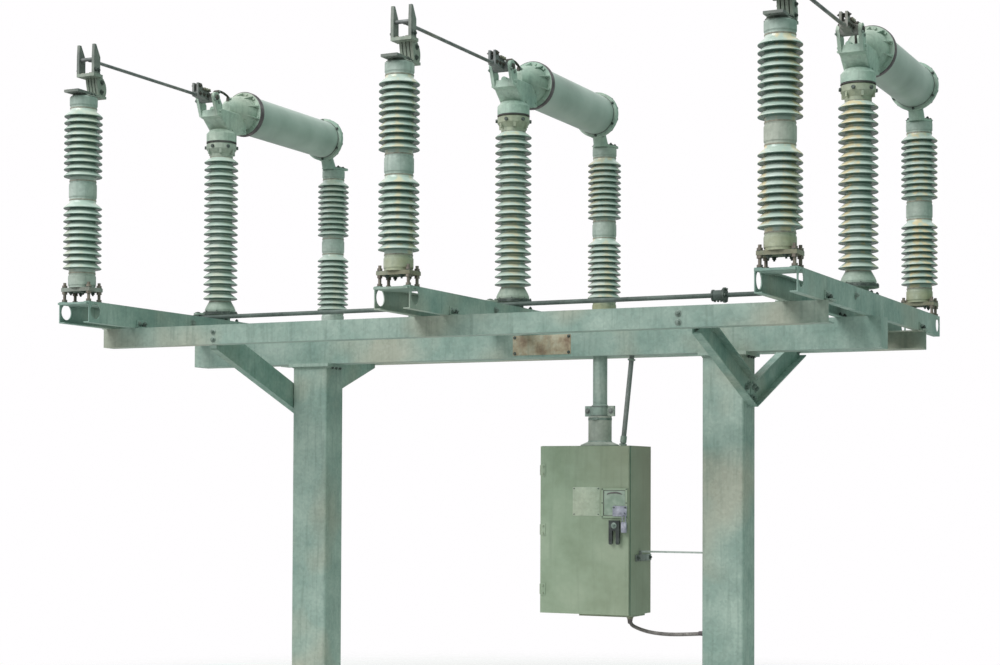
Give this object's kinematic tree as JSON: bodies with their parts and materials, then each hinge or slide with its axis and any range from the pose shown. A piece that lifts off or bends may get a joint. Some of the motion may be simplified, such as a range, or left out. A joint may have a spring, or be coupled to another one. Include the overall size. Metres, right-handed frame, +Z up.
{
  "type": "circuit switcher",
  "caption": "Three-pole outdoor high-voltage circuit switcher with tilting blades, horizontal interrupters and post insulators on a steel frame with an operator cabinet.",
  "frame": {"origin": "at ground level, midway between the two posts and on the line of the rotating columns", "axes": "+X along the row of poles towards the cabinet's side, +Y from the blades' jaws towards the interrupters, +Z up"},
  "size_m": [4.5678, 3.066, 4.23],
  "materials": {
    "galvanised_steel": "weathered hot-dip galvanising, dull",
    "stud_steel": "galvanised threaded rod, dull",
    "galvanised_iron": "galvanised malleable iron, dull",
    "glazed_porcelain": "sky-grey glaze, glossy, dusty",
    "cast_aluminium": "sand-cast aluminium, weathered",
    "blade_aluminium": "drawn tube, weathered",
    "interrupter_shell": "smooth grey-green shell, satin",
    "cabinet_paint": "grey-green enamel, chalked",
    "boot_sheet": "grey-green enamel, chalked",
    "dark_handle": "dark, satin",
    "gland_brass": "plated, dull",
    "cable_jacket": "matt jacket"
  },
  "bodies": {
    "frame": {"cabinet_shell": "cabinet_paint", "cabinet_strap": "galvanised_steel", "cable_glands": "gland_brass", "center_girder": "galvanised_steel", "conduit": "galvanised_steel", "front_beam": "galvanised_steel", "hinge_housing_1": "cast_aluminium", "hinge_housing_2": "cast_aluminium", "hinge_housing_3": "cast_aluminium", "interrupter_ends_1": "cast_aluminium", "interrupter_ends_2": "cast_aluminium", "interrupter_ends_3": "cast_aluminium", "interrupter_tube_1": "interrupter_shell", "interrupter_tube_2": "interrupter_shell", "interrupter_tube_3": "interrupter_shell", "jaw_1": "cast_aluminium", "jaw_2": "cast_aluminium", "jaw_3": "cast_aluminium", "knee_braces": "galvanised_steel", "levelling_studs": "stud_steel", "pipe_boot": "boot_sheet", "pole_base_1": "galvanised_steel", "pole_base_2": "galvanised_steel", "pole_base_3": "galvanised_steel", "post_cable": "cable_jacket", "posts": "galvanised_steel", "rear_beam": "galvanised_steel", "rotor_bearings": "galvanised_steel", "stack_fittings_1": "galvanised_iron", "stack_fittings_2": "galvanised_iron", "stack_fittings_3": "galvanised_iron", "stack_porcelain_1": "glazed_porcelain", "stack_porcelain_2": "glazed_porcelain", "stack_porcelain_3": "glazed_porcelain"},
    "rotor_1": {"rotor_porcelain_1": "glazed_porcelain", "rotor_castings_1": "galvanised_iron"},
    "blade_1": {"blade_1": "blade_aluminium"},
    "rotor_2": {"rotor_porcelain_2": "glazed_porcelain", "rotor_castings_2": "galvanised_iron"},
    "blade_2": {"blade_2": "blade_aluminium"},
    "rotor_3": {"rotor_porcelain_3": "glazed_porcelain", "rotor_castings_3": "galvanised_iron"},
    "blade_3": {"blade_3": "blade_aluminium"},
    "interphase_pipe": {"interphase_pipe": "galvanised_steel", "phase_coupling": "galvanised_steel"},
    "operating_pipe": {"operating_pipe": "galvanised_steel"},
    "cabinet_door": {"cabinet_door": "cabinet_paint"},
    "door_handle": {"door_handle": "dark_handle"}
  },
  "joints": [
    {"name": "rotor_2_turn", "type": "hinge", "parent": "frame", "child": "rotor_2", "pos_m": [0, 0, 2.7], "axis": [0, 0, 1], "range_deg": [0, 80]},
    {"name": "rotor_1_turn", "type": "hinge", "parent": "frame", "child": "rotor_1", "pos_m": [-2.134, 0, 2.7], "axis": [0, 0, 1], "range_deg": [0, 80]},
    {"name": "rotor_3_turn", "type": "hinge", "parent": "frame", "child": "rotor_3", "pos_m": [2.134, 0, 2.7], "axis": [0, 0, 1], "range_deg": [0, 80]},
    {"name": "phase_pipe_turn", "type": "hinge", "parent": "rotor_2", "child": "interphase_pipe", "pos_m": [-0.09642, -0.11491, 2.7], "axis": [0, 0, 1], "range_deg": [-80, 0]},
    {"name": "operating_pipe_turn", "type": "hinge", "parent": "frame", "child": "operating_pipe", "pos_m": [0.577, 0, 2.2], "axis": [0, 0, 1], "range_deg": [0, 80]},
    {"name": "blade_1_lift", "type": "hinge", "parent": "frame", "child": "blade_1", "pos_m": [-2.134, -0.16, 4.11], "axis": [-1, 0, 0], "range_deg": [0, 80]},
    {"name": "blade_2_lift", "type": "hinge", "parent": "frame", "child": "blade_2", "pos_m": [0, -0.16, 4.11], "axis": [-1, 0, 0], "range_deg": [0, 80]},
    {"name": "blade_3_lift", "type": "hinge", "parent": "frame", "child": "blade_3", "pos_m": [2.134, -0.16, 4.11], "axis": [-1, 0, 0], "range_deg": [0, 80]},
    {"name": "cabinet_door_swing", "type": "hinge", "parent": "frame", "child": "cabinet_door", "pos_m": [0.263, -0.148, 1.34], "axis": [0, 0, -1], "range_deg": [0, 110]},
    {"name": "door_handle_turn", "type": "hinge", "parent": "cabinet_door", "child": "door_handle", "pos_m": [0.751, -0.18, 1.37], "axis": [0, 1, 0], "range_deg": [0, 90]}
  ],
  "couplings": [
    {"joint": "rotor_1_turn", "follows": "rotor_2_turn", "ratio": 1},
    {"joint": "rotor_3_turn", "follows": "rotor_2_turn", "ratio": 1},
    {"joint": "phase_pipe_turn", "follows": "rotor_2_turn", "ratio": -1},
    {"joint": "operating_pipe_turn", "follows": "rotor_2_turn", "ratio": 1},
    {"joint": "blade_1_lift", "follows": "rotor_2_turn", "ratio": 1},
    {"joint": "blade_2_lift", "follows": "rotor_2_turn", "ratio": 1},
    {"joint": "blade_3_lift", "follows": "rotor_2_turn", "ratio": 1}
  ]
}
